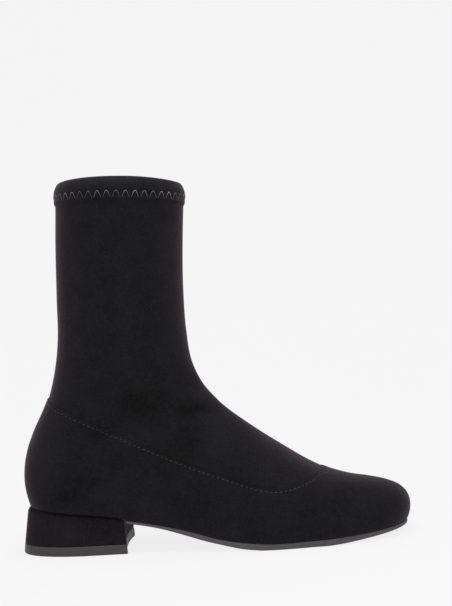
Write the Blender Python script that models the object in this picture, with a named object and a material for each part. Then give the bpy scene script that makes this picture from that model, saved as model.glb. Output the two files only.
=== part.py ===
"""Pull-on sock boot with a low block heel: right foot, size EU 37, standing on its sole.

Axes: +X from heel to toe, +Y towards the inner side of the foot, +Z up from the floor.
Sizes and tables are in millimetres, and become metres where a mesh is made. In the tables
x counts from just behind the counter and z from the floor. The finished pieces
are moved so that the origin lies on the floor, under the middle of the whole boot.
"""
import math

import bmesh
import bpy
import numpy as np

MM = 0.001


def table(columns, *rows):
    """A short table as a dictionary of named columns."""
    return dict(zip(columns.split(), np.array(rows, dtype=float).T))


# Driving sizes
WALL_FOOT = 2.2          # foot panel with its lining
WALL_SHAFT = 1.5         # stretch shaft with its lining
PANEL_STEP = 0.7         # the foot panel stands this proud of the shaft
PANEL_FADE = 25.0        # and the shaft comes back to its own line within this height
EDGE_FADE_POWER = 1.3    # how fast the rings lose the panel edge's dip, up the shaft
HEM_PROUD = 1.2          # folded hem, outside the shaft
HEM_INSIDE = 0.6         # and inside it
HEM_HEIGHT = 14.0
HEM_CURL = 3.1           # the hem leans in by this much at its top
HEM_CURL_START = 0.35    # from this share of its height
HEM_STEP_HEIGHT = 0.3    # its lower edge steps out within this height
HEM_UPPER_RING = 0.65    # share of its height of the ring below the rim
COLLAR_FRONT = 232.8     # the collar slopes down towards the front
COLLAR_BACK = 236.4
COLLAR_ARCH = 1.8        # and its sides stand this much higher
GAP = 0.3                # between pieces that touch
INSOLE_THICKNESS = 2.5
INSOLE_ROOM = 0.3        # beside the insole, on top of the gap
INSOLE_BEVEL = 0.6
PATCH_DEPTH = 0.25        # tread patch under the forefoot
PATCH_INSET = 5.0
PATCH_SLOPE = 0.4        # its side slopes in by this much
PATCH_REAR = 119.0
PATCH_FRONT = 234.0
SOLE_TOE_INSET = 0.3     # the outsole's toe stays this far behind the upper's
HEEL_TIP_THICKNESS = 6.0
HEEL_TIP_BEVEL = 0.6
HEEL_BACK_TOP = 1.5
HEEL_BACK_LOW = -2.5
HEEL_HALF_TOP = 26.0
HEEL_HALF_LOW = 26.7
HEEL_ROUNDING = 1.0      # soft upper edge of the covered block
HEEL_SHARES = (0.06, 0.33, 0.66, 1.0)    # rings of the block, as shares of the way down it
COVER_END = 0.82         # share of the heel's taper where the covered block ends
TIP_START = 0.84         # and where the heel tip starts
HEEL_FRONT = 78.0        # rough front of the block, before its breast is cut
BREAST_RADIUS = 160.0
BREAST_X = 63.4          # middle of the breast, at its top
BREAST_TOP = 20.0
BREAST_LEAN = math.radians(3.6)
CUTTER_SIDES = 180
CUTTER_HEIGHT = 80.0

AROUND = 64              # points round a ring of the upper
FOOT_RINGS = 12
STEP_LEVEL = 0.0015      # the panel's step lies within this part of a level
SHAFT_RINGS = 17
INNER_FOOT_RINGS = 10
INNER_SHAFT_RINGS = 12
RIM_STEPS = 6
SOLE_POINTS = 80
INSOLE_POINTS = 64
HEEL_POINTS = 48
HEEL_CROWDING = 1.6      # the heel's points crowd towards its back with this power

# Side view: from the tip of the sole up over toe, instep and shin to the collar
FRONT_LINE = table(
    "x z",
    (247.6, 7.7), (249.3, 13.0), (249.6, 18.6), (248.0, 23.8), (244.0, 28.2), (237.2, 31.6),
    (225.5, 34.8), (211.3, 37.7), (198.5, 42.0), (185.8, 48.1), (167.0, 60.2), (148.2, 73.7),
    (128.8, 90.0), (118.0, 103.8), (112.5, 117.2), (110.0, 137.0), (109.5, 163.0),
    (111.3, 202.0), (112.6, 219.0), (113.5, 232.8),
)
# Side view: from the seat of the heel up the counter and calf to the collar
BACK_LINE = table(
    "x z",
    (3.6, 29.0), (1.7, 36.0), (0.4, 45.0), (0.6, 53.0), (2.9, 64.9), (7.8, 77.6), (14.3, 90.3),
    (18.2, 98.6), (22.0, 109.4), (24.8, 122.2), (26.5, 135.1), (27.3, 161.0), (28.6, 200.0),
    (29.8, 222.0), (30.2, 236.4),
)
# Lower edge of the upper, where it meets sole and heel
FEATHER = table(
    "x z",
    (3.6, 29.0), (17.0, 27.4), (33.0, 25.8), (51.0, 23.8), (65.0, 21.7), (85.0, 18.0),
    (104.0, 13.6), (126.0, 7.7), (149.0, 4.7), (177.0, 4.4), (209.0, 5.5), (234.0, 6.9),
    (247.6, 7.7),
)
# Upper edge of the foot panel in side view, from the back seam to the throat
PANEL_EDGE = table(
    "x z",
    (18.2, 98.6), (22.0, 95.6), (30.0, 91.9), (49.3, 82.5), (66.2, 74.2), (94.2, 60.6),
    (115.9, 51.2), (133.3, 44.8), (150.0, 39.0), (160.7, 36.9), (167.8, 37.2), (176.0, 38.6),
    (184.8, 41.2), (190.7, 43.0), (196.2, 43.4),
)
# Lower edge of the outsole's side
SOLE_EDGE = table(
    "x z",
    (58.0, 20.4), (75.0, 17.7), (88.0, 14.9), (100.0, 11.4), (115.0, 6.8), (126.0, 4.1),
    (137.0, 1.7), (150.0, 0.25), (192.0, 0.25), (203.0, 1.0), (215.0, 2.2), (230.0, 3.5),
    (247.6, 5.0),
)
# Cross section of the outsole's side: inset, share of the way down it, and height added
SOLE_SIDE = table(
    "inset share up",
    (0.9, 0.0, 0.0), (0.4, 0.0, -0.5), (0.3, 0.5, 0.0), (0.9, 1.0, 0.5), (1.6, 1.0, 0.0),
)
# Plan of the upper's lower edge: half widths to either side of the spine
OUTLINE = table(
    "x outer inner",
    (45.0, 27.8, 27.5), (65.0, 28.2, 26.6), (85.0, 29.0, 25.0), (105.0, 31.6, 25.0),
    (125.0, 36.2, 28.0), (145.0, 41.2, 32.6), (160.0, 43.5, 35.6), (172.0, 43.4, 37.4),
    (185.0, 42.5, 38.0),
)
# The spine swings to the inner side along the forefoot
SPINE = table("x y", (-5.0, 0.0), (90.0, 0.0), (118.0, 0.3), (150.0, 2.3), (185.0, 4.5),
              (220.0, 5.7), (250.0, 6.0))
# Cross sections along the boot. `at` is the station: minus the distance ahead of the ankle
# pivot for the forefoot, the angle in hundredths of a radian round the ankle pivot for the
# ankle, and the height above the pivot, added to a right angle, for the shaft. `outer` and
# `inner` are half widths, `widest` is how far up the section is widest, `square` its
# roundness low down (2 is an ellipse), and `taper` how much it narrows above.
SECTIONS = table(
    "at outer inner widest square taper",
    (-35.0, 44.0, 39.3, 0.22, 2.1, 0.06),
    (0.0, 43.6, 34.9, 0.22, 2.1, 0.24),
    (25.0, 37.4, 33.0, 0.26, 2.1, 0.27),
    (45.0, 33.6, 32.0, 0.30, 2.1, 0.22),
    (70.0, 31.6, 31.4, 0.32, 2.2, 0.15),
    (97.0, 31.2, 31.0, 0.36, 2.4, 0.09),
    (125.0, 31.2, 30.8, 0.44, 2.3, 0.05),
    (157.0, 31.2, 31.0, 0.48, 2.15, 0.03),
    (200.0, 32.0, 32.0, 0.50, 2.1, 0.0),
    (263.0, 33.4, 33.4, 0.50, 2.1, 0.0),
)
HEEL_CURVE_X = 45.0      # the heel's plan is round behind this
HEEL_CURVE_POWER = 2.2
TOE_X = 185.0            # and the toe's is round ahead of this
TOE_POWER = 2.0
ANKLE_PIVOT = (150.0, 130.0)
RIGHT_ANGLE_STATION = 50.0 * math.pi
# Lengths along the side view lines between which a mark is looked for
THROAT_BETWEEN = (60.0, 200.0)
FRONT_HEM_BETWEEN = (200.0, 500.0)
COUNTER_TOP_BETWEEN = (40.0, 120.0)
BACK_HEM_BETWEEN = (120.0, 300.0)


def smooth(xs, ys, x):
    """A smooth curve through the points (xs, ys), read at x."""
    slopes = np.gradient(ys, xs)
    i = np.clip(np.searchsorted(xs, x) - 1, 0, len(xs) - 2)
    gap = xs[i + 1] - xs[i]
    t = np.clip((x - xs[i]) / gap, 0.0, 1.0)
    rise = t * t * (3.0 - 2.0 * t)
    start = t * (1.0 - t) ** 2 * gap * slopes[i]
    end = t * t * (t - 1.0) * gap * slopes[i + 1]
    return ys[i] + (ys[i + 1] - ys[i]) * rise + start + end


def dense_line(line, count=600):
    """A side view line as many close points, with the length up to each."""
    steps = np.hypot(np.diff(line["x"]), np.diff(line["z"]))
    length = np.concatenate([[0.0], np.cumsum(steps)])
    along = np.linspace(0.0, length[-1], count)
    x = smooth(length, line["x"], along)
    z = smooth(length, line["z"], along)
    return {"along": along, "x": x, "z": z}


def feather_z(x):
    """Height of the upper's lower edge."""
    return smooth(FEATHER["x"], FEATHER["z"], x)


def spine_y(x):
    """Middle of the last's plan."""
    return smooth(SPINE["x"], SPINE["y"], x)


def outline_half(x, side):
    """Half width of the upper's lower edge at x; side is "outer" or "inner"."""
    back, front = FEATHER["x"][0], FEATHER["x"][-1]
    half = smooth(OUTLINE["x"], OUTLINE[side], np.clip(x, HEEL_CURVE_X, TOE_X))
    heel = np.clip((HEEL_CURVE_X - x) / (HEEL_CURVE_X - back), 0.0, 1.0)
    toe = np.clip((x - TOE_X) / (front - TOE_X), 0.0, 1.0)
    half = half * (1.0 - heel ** HEEL_CURVE_POWER) ** (1.0 / HEEL_CURVE_POWER)
    return half * (1.0 - toe ** TOE_POWER) ** (1.0 / TOE_POWER)


FRONT = dense_line(FRONT_LINE)
BACK = dense_line(BACK_LINE)


def ankle_polar(x, z):
    """Station and distance of a side view point, seen from the ankle pivot."""
    ahead = ANKLE_PIVOT[0] - x
    below = ANKLE_PIVOT[1] - z
    angle = np.arctan2(ahead, np.maximum(below, 0.0))
    station = np.where(below > 0.0, 100.0 * angle, RIGHT_ANGLE_STATION - below)
    return station, np.where(below > 0.0, np.hypot(ahead, below), ahead)


def ankle_ends():
    """Where each ankle and shaft section starts and ends, by station."""
    above = FRONT["x"] <= ANKLE_PIVOT[0]
    front_at, front_reach = ankle_polar(FRONT["x"][above], FRONT["z"][above])
    seat_x = np.linspace(ANKLE_PIVOT[0], FEATHER["x"][0], 300)
    far_x = np.concatenate([seat_x, BACK["x"][1:]])
    far_z = np.concatenate([feather_z(seat_x), BACK["z"][1:]])
    far_at, far_reach = ankle_polar(far_x, far_z)
    closed = np.zeros(len(BACK["x"]) - 1)
    edge = {side: np.concatenate([outline_half(seat_x, side), closed])
            for side in ("outer", "inner")}
    return front_at, front_reach, far_at, far_reach, edge


ANKLE_ENDS = ankle_ends()


def toe_reach():
    """Distance from the toe pivot to the front line, by angle from upright."""
    ahead = FRONT["x"] >= TOE_X
    x = FRONT["x"][ahead][::-1] - TOE_X
    z = FRONT["z"][ahead][::-1] - feather_z(TOE_X)
    return np.arctan2(x, z), np.hypot(x, z)


TOE_ANGLES, TOE_REACH = toe_reach()


def place(x, z, side):
    """Station, share of the way up the section, and half width at its lower end."""
    front_at, front_reach, far_at, far_reach, edge = ANKLE_ENDS
    at, reach = ankle_polar(x, z)
    far = np.interp(at, far_at, far_reach)
    near = np.interp(at, front_at, front_reach)
    share = (far - reach) / (far - near)
    low = np.interp(at, far_at, edge[side])

    upright = x >= ANKLE_PIVOT[0]
    top = np.interp(x, FRONT["x"][::-1], FRONT["z"][::-1])
    bottom = feather_z(x)
    at = np.where(upright, ANKLE_PIVOT[0] - x, at)
    share = np.where(upright, (z - bottom) / np.maximum(top - bottom, 1.0), share)
    low = np.where(upright, outline_half(x, side), low)

    toe = x > TOE_X
    angle = np.arctan2(x - TOE_X, z - feather_z(TOE_X))
    reach = np.interp(angle, TOE_ANGLES, TOE_REACH)
    share = np.where(toe, np.hypot(x - TOE_X, z - feather_z(TOE_X)) / reach, share)
    low = np.where(toe, outline_half(TOE_X, side), low)
    lying = np.where(toe, np.clip(angle / (0.5 * math.pi), 0.0, 1.0), 0.0)
    return at, np.clip(share, 0.0, 1.0), low, lying


def half_width(x, z, side):
    """Half width of the upper at a point of the side view."""
    at, share, low, lying = place(x, z, side)
    row = {name: smooth(SECTIONS["at"], values, at) for name, values in SECTIONS.items()}
    full = np.maximum(row[side], low * 1.001)
    full = full + (low - full) * lying
    widest = row["widest"] * (1.0 - lying)
    taper = row["taper"] * (1.0 - lying)
    cut = (1.0 - (low / full) ** row["square"]) ** (1.0 / row["square"])
    below = share < widest
    down = cut * (widest - share) / np.maximum(widest, 0.001)
    up = (share - widest) / (1.0 - widest)
    low_form = (1.0 - np.clip(down, 0.0, 1.0) ** row["square"]) ** (1.0 / row["square"])
    up_form = np.sqrt(1.0 - np.clip(up, 0.0, 1.0) ** 2) * (1.0 - taper * up * up)
    return full * np.where(below, low_form, up_form)


def line_point(line, start, end, share):
    """Point of a dense line, a share of the way between two lengths along it."""
    along = start + (end - start) * share
    return np.interp(along, line["along"], line["x"]), np.interp(along, line["along"], line["z"])


def length_at(line, column, value, first, last):
    """Length along a dense line where a column reaches a value, between two lengths."""
    inside = (line["along"] >= first) & (line["along"] <= last)
    best = np.argmin(np.abs(line[column][inside] - value))
    return line["along"][inside][best]


FRONT_MARKS = (0.0, length_at(FRONT, "x", PANEL_EDGE["x"][-1], *THROAT_BETWEEN),
               length_at(FRONT, "z", COLLAR_FRONT - HEM_HEIGHT, *FRONT_HEM_BETWEEN),
               FRONT["along"][-1])
BACK_MARKS = (0.0, length_at(BACK, "z", PANEL_EDGE["z"][0], *COUNTER_TOP_BETWEEN),
              length_at(BACK, "z", COLLAR_BACK - HEM_HEIGHT, *BACK_HEM_BETWEEN),
              BACK["along"][-1])
SHAFT_LENGTH = 0.5 * (FRONT_MARKS[2] - FRONT_MARKS[1] + BACK_MARKS[2] - BACK_MARKS[1])


def ring_side_view(level, share):
    """Side view point of the ring at a level, a share of the way from back to front.

    Level 0 is the lower edge, 1 the edge of the foot panel, 2 the foot of the hem and 3
    the collar.
    """
    part = 2 if level >= 3.0 else int(level)
    rise = level - part
    front_x, front_z = line_point(FRONT, FRONT_MARKS[part], FRONT_MARKS[part + 1], rise)
    back_x, back_z = line_point(BACK, BACK_MARKS[part], BACK_MARKS[part + 1], rise)
    x = back_x + (front_x - back_x) * share
    z = back_z + (front_z - back_z) * share
    seat = FEATHER["x"][0] + (FEATHER["x"][-1] - FEATHER["x"][0]) * share
    seat_dip = feather_z(seat) - (FEATHER["z"][0] + (FEATHER["z"][-1] - FEATHER["z"][0]) * share)
    edge = PANEL_EDGE["x"][0] + (PANEL_EDGE["x"][-1] - PANEL_EDGE["x"][0]) * share
    edge_dip = smooth(PANEL_EDGE["x"], PANEL_EDGE["z"], edge)
    edge_dip = edge_dip - (PANEL_EDGE["z"][0] + (PANEL_EDGE["z"][-1] - PANEL_EDGE["z"][0]) * share)
    if part == 0:
        return x, z + seat_dip * (1.0 - rise) + edge_dip * rise
    arch = COLLAR_ARCH * 4.0 * share * (1.0 - share) * (0.5 * (level - 1.0)) ** 2
    return x, z + edge_dip * max(2.0 - level, 0.0) ** EDGE_FADE_POWER + arch


def upper_surface(level, turn):
    """Points of the upper's smooth outside; turn runs round from the back by the outer side."""
    share = 0.5 * (1.0 - np.cos(turn))
    x, z = ring_side_view(level, share)
    outer = np.sin(turn) > 0.0
    half = np.where(outer, -half_width(x, z, "outer"), half_width(x, z, "inner"))
    half = np.where(np.abs(np.sin(turn)) < 1e-9, 0.0, half)
    return np.stack([x, spine_y(x) + half, z], axis=-1)


def upper_normals(level, turn):
    """Outward normals of that surface."""
    step = 0.02
    low, high = max(level - step, 0.0), min(level + step, 3.0)
    up = upper_surface(high, turn) - upper_surface(low, turn)
    round_ = upper_surface(level, turn + step) - upper_surface(level, turn - step)
    normal = np.cross(round_, up)
    return normal / np.linalg.norm(normal, axis=-1, keepdims=True)


def shaft_rise(level):
    """Height above the panel edge, along the shaft."""
    return (level - 1.0) * SHAFT_LENGTH


def outside_offset(level):
    """How far the outside of the wall stands from the smooth surface."""
    if level <= 1.0:
        return 0.0
    return -PANEL_STEP * max(1.0 - shaft_rise(level) / PANEL_FADE, 0.0) ** 2


def inside_offset(level):
    """How far the inside of the wall lies within the smooth surface."""
    if level <= 1.0:
        return -WALL_FOOT
    fade = max(1.0 - shaft_rise(level) / PANEL_FADE, 0.0) ** 2
    return -WALL_SHAFT - (WALL_FOOT - WALL_SHAFT) * fade


def hem_ring(level, offset):
    """A ring of the hem, which leans in towards its top."""
    lean = max(level - 2.0 - HEM_CURL_START, 0.0) / (1.0 - HEM_CURL_START)
    return level, offset - HEM_CURL * lean ** 2


def wall_rings():
    """Level and offset of each ring, up the outside, over the collar and down the inside."""
    hem_step = 2.0 + HEM_STEP_HEIGHT / HEM_HEIGHT
    foot = [(level, 0.0) for level in np.linspace(0.0, 1.0, FOOT_RINGS)]
    shaft_levels = 1.0 + np.linspace(STEP_LEVEL, 1.0, SHAFT_RINGS)
    shaft = [(level, outside_offset(level)) for level in shaft_levels]
    middle = 0.5 * (HEM_PROUD - WALL_SHAFT - HEM_INSIDE)
    radius = 0.5 * (HEM_PROUD + WALL_SHAFT + HEM_INSIDE)
    hem = [(hem_step, HEM_PROUD), hem_ring(2.0 + HEM_CURL_START, HEM_PROUD),
           hem_ring(2.0 + HEM_UPPER_RING, HEM_PROUD)]
    for angle in np.linspace(0.0, math.pi, RIM_STEPS):
        down = radius * (1.0 - math.sin(angle))
        hem.append(hem_ring(3.0 - down / HEM_HEIGHT, middle + radius * math.cos(angle)))
    hem.append(hem_ring(2.0 + HEM_CURL_START, -WALL_SHAFT - HEM_INSIDE))
    hem.append((hem_step, -WALL_SHAFT - HEM_INSIDE))
    inner_levels = np.concatenate([np.linspace(2.0, 1.0, INNER_SHAFT_RINGS),
                                   np.linspace(1.0, 0.0, INNER_FOOT_RINGS)[1:]])
    inner = [(level, inside_offset(level)) for level in inner_levels]
    return foot + shaft + hem + inner


def upper_grid():
    """All rings of the upper's wall, as an array of points."""
    turn = np.linspace(0.0, 2.0 * math.pi, AROUND, endpoint=False)
    rings = []
    for level, offset in wall_rings():
        rings.append(upper_surface(level, turn) + offset * upper_normals(level, turn))
    rings[-1][:, 2] = feather_z(rings[-1][:, 0])
    return np.array(rings)


def plan_loop(x, outer, inner):
    """A closed plan outline from stations along it, back to front and round again."""
    middle = spine_y(x)
    out_side = np.stack([x, middle - outer], axis=-1)
    in_side = np.stack([x, middle + inner], axis=-1)
    return np.concatenate([out_side, in_side[-2:0:-1]])


def round_stations(back, front, count):
    """Stations that crowd towards both ends."""
    turn = np.linspace(0.0, math.pi, count // 2 + 1)
    return back + (front - back) * 0.5 * (1.0 - np.cos(turn))


def inset(loop, distance):
    """A plan outline moved inwards."""
    ahead = np.roll(loop, -1, axis=0) - np.roll(loop, 1, axis=0)
    normal = np.stack([-ahead[:, 1], ahead[:, 0]], axis=-1)
    return loop + distance * normal / np.linalg.norm(normal, axis=-1, keepdims=True)


def with_height(loop, height):
    """A plan outline lifted to a height, which may depend on x."""
    z = np.broadcast_to(height(loop[:, 0]), len(loop))
    return np.column_stack([loop, z])


def outsole_loops():
    """Loops of the outsole from its top face down its side to the tread patch."""
    x = round_stations(BREAST_X + GAP, FEATHER["x"][-1] - SOLE_TOE_INSET, SOLE_POINTS)
    from_axis = BREAST_X + BREAST_RADIUS - x
    breast = np.sqrt(np.maximum((BREAST_RADIUS - GAP) ** 2 - from_axis ** 2, 0.0))
    ahead = x > BREAST_X + BREAST_RADIUS
    outer = np.where(ahead, outline_half(x, "outer"), np.minimum(outline_half(x, "outer"), breast))
    inner = np.where(ahead, outline_half(x, "inner"), np.minimum(outline_half(x, "inner"), breast))
    loop = plan_loop(x, outer, inner)

    def top(x):
        return feather_z(x) - GAP

    def low(x):
        return np.maximum(smooth(SOLE_EDGE["x"], SOLE_EDGE["z"], x), PATCH_DEPTH)

    def patch(x):
        return low(x) - PATCH_DEPTH * ((x > PATCH_REAR) & (x < PATCH_FRONT))

    loops = []
    for distance, share, up in zip(SOLE_SIDE["inset"], SOLE_SIDE["share"], SOLE_SIDE["up"]):

        def height(x, share=share, up=up):
            return top(x) + (low(x) - top(x)) * share + up

        loops.append(with_height(inset(loop, distance), height))
    loops.append(with_height(inset(loop, PATCH_INSET), low))
    loops.append(with_height(inset(loop, PATCH_INSET + PATCH_SLOPE), patch))
    return loops


def insole_loops():
    """Loops of the insole, which lies on the outsole between the walls of the upper."""
    x = round_stations(FEATHER["x"][0], FEATHER["x"][-1], INSOLE_POINTS)
    loop = plan_loop(x, outline_half(x, "outer"), outline_half(x, "inner"))
    edge = inset(loop, WALL_FOOT + GAP + INSOLE_ROOM)
    bevel = inset(loop, WALL_FOOT + GAP + INSOLE_ROOM + INSOLE_BEVEL)
    return [
        with_height(bevel, lambda x: feather_z(x) + INSOLE_THICKNESS),
        with_height(edge, lambda x: feather_z(x) + INSOLE_THICKNESS - INSOLE_BEVEL),
        with_height(edge, feather_z),
    ]


def heel_loop(height, half, back):
    """Plan outline of the heel block: round behind, straight sides, rough front."""
    along = np.linspace(0.0, 1.0, HEEL_POINTS // 2 + 1) ** HEEL_CROWDING
    x = back + (HEEL_FRONT - back) * along
    behind = np.clip((HEEL_CURVE_X - x) / (HEEL_CURVE_X - back), 0.0, 1.0)
    width = half * (1.0 - behind ** HEEL_CURVE_POWER) ** (1.0 / HEEL_CURVE_POWER)
    return with_height(plan_loop(x, width, width), height)


def heel_shape(share):
    """Half width and back of the block, a share of the way down; it flares at its foot."""
    half = HEEL_HALF_TOP + (HEEL_HALF_LOW - HEEL_HALF_TOP) * share ** 2
    return half, HEEL_BACK_TOP + (HEEL_BACK_LOW - HEEL_BACK_TOP) * share


def heel_loops():
    """Loops of the covered block, from under the upper down to the heel tip."""
    foot = HEEL_TIP_THICKNESS + GAP
    half, back = heel_shape(0.0)
    loops = [heel_loop(lambda x: feather_z(x) - GAP, half - HEEL_ROUNDING, back + HEEL_ROUNDING)]
    for share in HEEL_SHARES:
        half, back = heel_shape(share * COVER_END)

        def height(x, share=share):
            return (feather_z(x) - GAP) * (1.0 - share) + foot * share

        loops.append(heel_loop(height, half, back))
    return loops


def heel_tip_loops():
    """Loops of the rubber top piece."""
    half, back = heel_shape(TIP_START)
    low_half, low_back = heel_shape(1.0)
    return [
        heel_loop(lambda x: HEEL_TIP_THICKNESS, half, back),
        heel_loop(lambda x: HEEL_TIP_BEVEL, low_half, low_back),
        heel_loop(lambda x: 0.0, low_half - HEEL_TIP_BEVEL, low_back + HEEL_TIP_BEVEL),
    ]


def middle_of(*point_sets):
    """Middle of the plan of all points."""
    points = np.concatenate([np.array(points).reshape(-1, 3) for points in point_sets])
    centre = 0.5 * (points.min(axis=0) + points.max(axis=0))
    return np.array([centre[0], centre[1], 0.0])


def principled(name, colour, roughness):
    """A plain material."""
    material = bpy.data.materials.new(name)
    material.use_nodes = True
    shader = material.node_tree.nodes["Principled BSDF"]
    shader.inputs["Base Color"].default_value = (*colour, 1.0)
    shader.inputs["Roughness"].default_value = roughness
    shader.inputs["Metallic"].default_value = 0.0
    return material


def add_object(name, points, faces, material):
    """A smooth shaded object from points in metres."""
    mesh = bpy.data.meshes.new(name)
    mesh.from_pydata([tuple(point) for point in points], [], faces)
    edit = bmesh.new()
    edit.from_mesh(mesh)
    bmesh.ops.recalc_face_normals(edit, faces=edit.faces)
    edit.to_mesh(mesh)
    edit.free()
    mesh.materials.append(material)
    mesh.shade_smooth()
    mesh.set_sharp_from_angle(angle=math.radians(40))
    piece = bpy.data.objects.new(name, mesh)
    bpy.context.scene.collection.objects.link(piece)
    return piece


def wall_object(name, rings, middle, material):
    """A closed wall from rings that follow on from each other, the last to the first."""
    rows, count = rings.shape[:2]
    faces = []
    for row in range(rows):
        above = (row + 1) % rows
        for i in range(count):
            j = (i + 1) % count
            faces.append((row * count + i, row * count + j, above * count + j, above * count + i))
    return add_object(name, (rings.reshape(-1, 3) - middle) * MM, faces, material)


def slab_object(name, loops, middle, material):
    """A solid from loops, top to bottom, with its first and last closed by cross strips."""
    count = len(loops[0])
    half = count // 2
    faces = []
    for row in range(len(loops) - 1):
        for i in range(count):
            j = (i + 1) % count
            faces.append((row * count + i, row * count + j,
                          (row + 1) * count + j, (row + 1) * count + i))
    for start in (0, (len(loops) - 1) * count):
        faces.append((start, start + 1, start + count - 1))
        faces.append((start + half - 1, start + half, start + half + 1))
        for i in range(1, half - 1):
            faces.append((start + i, start + i + 1, start + count - i - 1, start + count - i))
    points = np.concatenate(loops)
    return add_object(name, (points - middle) * MM, faces, material)


def breast_cutter(middle):
    """Upright cylinder that hollows the front of the heel."""
    bpy.ops.mesh.primitive_cylinder_add(vertices=CUTTER_SIDES, radius=BREAST_RADIUS * MM,
                                        depth=CUTTER_HEIGHT * MM)
    cutter = bpy.context.object
    cutter.name = "breast_cutter"
    lean_pivot = np.array([BREAST_X + BREAST_RADIUS, 0.0, BREAST_TOP])
    cutter.location = (lean_pivot - middle) * MM
    cutter.rotation_euler = (0.0, -BREAST_LEAN, 0.0)
    cutter.hide_render = True
    cutter.display_type = "WIRE"
    return cutter


def cut_breast(piece, cutter):
    """Take the cutter out of a piece."""
    cut = piece.modifiers.new("breast", "BOOLEAN")
    cut.operation = "DIFFERENCE"
    cut.object = cutter
    cut.solver = "EXACT"


def clear_scene():
    """Start from an empty scene."""
    for item in list(bpy.data.objects):
        bpy.data.objects.remove(item, do_unlink=True)


def build():
    """Make every piece and place the whole boot over the origin."""
    clear_scene()
    suede = principled("foot_suede", (0.0150, 0.0135, 0.0155), 0.92)
    heel_cover = principled("heel_suede", (0.0130, 0.0120, 0.0140), 0.92)
    rubber = principled("sole_rubber", (0.066, 0.062, 0.066), 0.55)
    tip_rubber = principled("heel_tip_rubber", (0.058, 0.054, 0.058), 0.55)
    lining = principled("insole_lining", (0.020, 0.019, 0.020), 0.85)

    rings = upper_grid()
    tip = heel_tip_loops()
    rearmost = tip[1][:1]
    middle = middle_of(rings, rearmost)
    wall_object("upper", rings, middle, suede)
    slab_object("outsole", outsole_loops(), middle, rubber)
    slab_object("insole", insole_loops(), middle, lining)
    cutter = breast_cutter(middle)
    cut_breast(slab_object("heel", heel_loops(), middle, heel_cover), cutter)
    cut_breast(slab_object("heel_tip", tip, middle, tip_rubber), cutter)


build()
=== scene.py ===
"""Looks of the pull-on sock boot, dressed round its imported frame.

Sizes and tables are in millimetres in the boot's own frame, as in its construction: x counts
from just behind the counter to the toe, y to the inner side of the foot, and z up
from the floor. They become metres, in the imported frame, where a mesh is made.
"""
import math

import bpy
import numpy as np
from mathutils import Matrix, Vector

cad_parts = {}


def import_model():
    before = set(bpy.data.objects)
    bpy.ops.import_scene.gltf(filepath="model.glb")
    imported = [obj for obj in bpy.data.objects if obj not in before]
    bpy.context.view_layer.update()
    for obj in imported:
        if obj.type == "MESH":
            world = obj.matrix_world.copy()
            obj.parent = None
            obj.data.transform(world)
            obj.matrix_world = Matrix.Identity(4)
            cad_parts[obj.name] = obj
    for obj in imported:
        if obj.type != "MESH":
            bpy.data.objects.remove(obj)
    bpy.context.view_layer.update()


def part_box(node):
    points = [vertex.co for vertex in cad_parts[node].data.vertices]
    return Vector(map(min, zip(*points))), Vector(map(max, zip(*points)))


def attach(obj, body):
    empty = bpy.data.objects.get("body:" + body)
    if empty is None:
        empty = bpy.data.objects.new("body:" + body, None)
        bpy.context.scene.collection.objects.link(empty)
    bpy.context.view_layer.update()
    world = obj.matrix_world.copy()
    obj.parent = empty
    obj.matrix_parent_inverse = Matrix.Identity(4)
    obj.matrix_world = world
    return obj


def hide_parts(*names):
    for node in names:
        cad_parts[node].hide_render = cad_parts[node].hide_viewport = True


MM = 0.001
FULL_TURN = 2.0 * math.pi


def table(columns, *rows):
    """A short table as a dictionary of named columns."""
    return dict(zip(columns.split(), np.array(rows, dtype=float).T))


def rows_of(columns):
    """The rows of a table, each as a dictionary."""
    return [dict(zip(columns, row)) for row in zip(*columns.values())]


# Driving sizes of the construction, which the looks keep
WALL_FOOT = 2.2
WALL_SHAFT = 1.5
PANEL_STEP = 0.7
PANEL_FADE = 25.0
EDGE_FADE_POWER = 1.3
HEM_PROUD = 1.2
HEM_INSIDE = 0.6
HEM_HEIGHT = 14.0
HEM_CURL = 3.1
HEM_CURL_START = 0.35
COLLAR_FRONT = 232.8
COLLAR_BACK = 236.4
COLLAR_ARCH = 1.8
GAP = 0.3
INSOLE_THICKNESS = 2.5
PATCH_DEPTH = 0.25
PATCH_INSET = 5.0
PATCH_REAR = 119.0
PATCH_FRONT = 234.0
SOLE_TOE_INSET = 0.3
HEEL_TIP_THICKNESS = 6.0
HEEL_BACK_TOP = 1.5
HEEL_BACK_LOW = -2.5
HEEL_HALF_TOP = 26.0
HEEL_HALF_LOW = 26.7
HEEL_CROWDING = 1.6
BREAST_RADIUS = 160.0
BREAST_X = 63.4
BREAST_TOP = 20.0
BREAST_LEAN = math.radians(3.6)
COVER_END = 0.82         # share of the heel's taper where the covered block ends
TIP_START = 0.84         # and where the heel tip starts

# Side view: from the tip of the sole up over toe, instep and shin to the collar
FRONT_LINE = table(
    "x z",
    (247.6, 7.7), (249.3, 13), (249.6, 18.6), (248, 23.8), (244, 28.2), (237.2, 31.6),
    (225.5, 34.8), (211.3, 37.7), (198.5, 42), (185.8, 48.1), (167, 60.2), (148.2, 73.7),
    (128.8, 90), (118, 103.8), (112.5, 117.2), (110, 137), (109.5, 163),
    (111.3, 202), (112.6, 219), (113.5, 232.8),
)
# Side view: from the seat of the heel up the counter and calf to the collar
BACK_LINE = table(
    "x z",
    (3.6, 29), (1.7, 36), (0.4, 45), (0.6, 53), (2.9, 64.9), (7.8, 77.6), (14.3, 90.3),
    (18.2, 98.6), (22, 109.4), (24.8, 122.2), (26.5, 135.1), (27.3, 161), (28.6, 200),
    (29.8, 222), (30.2, 236.4),
)
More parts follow.
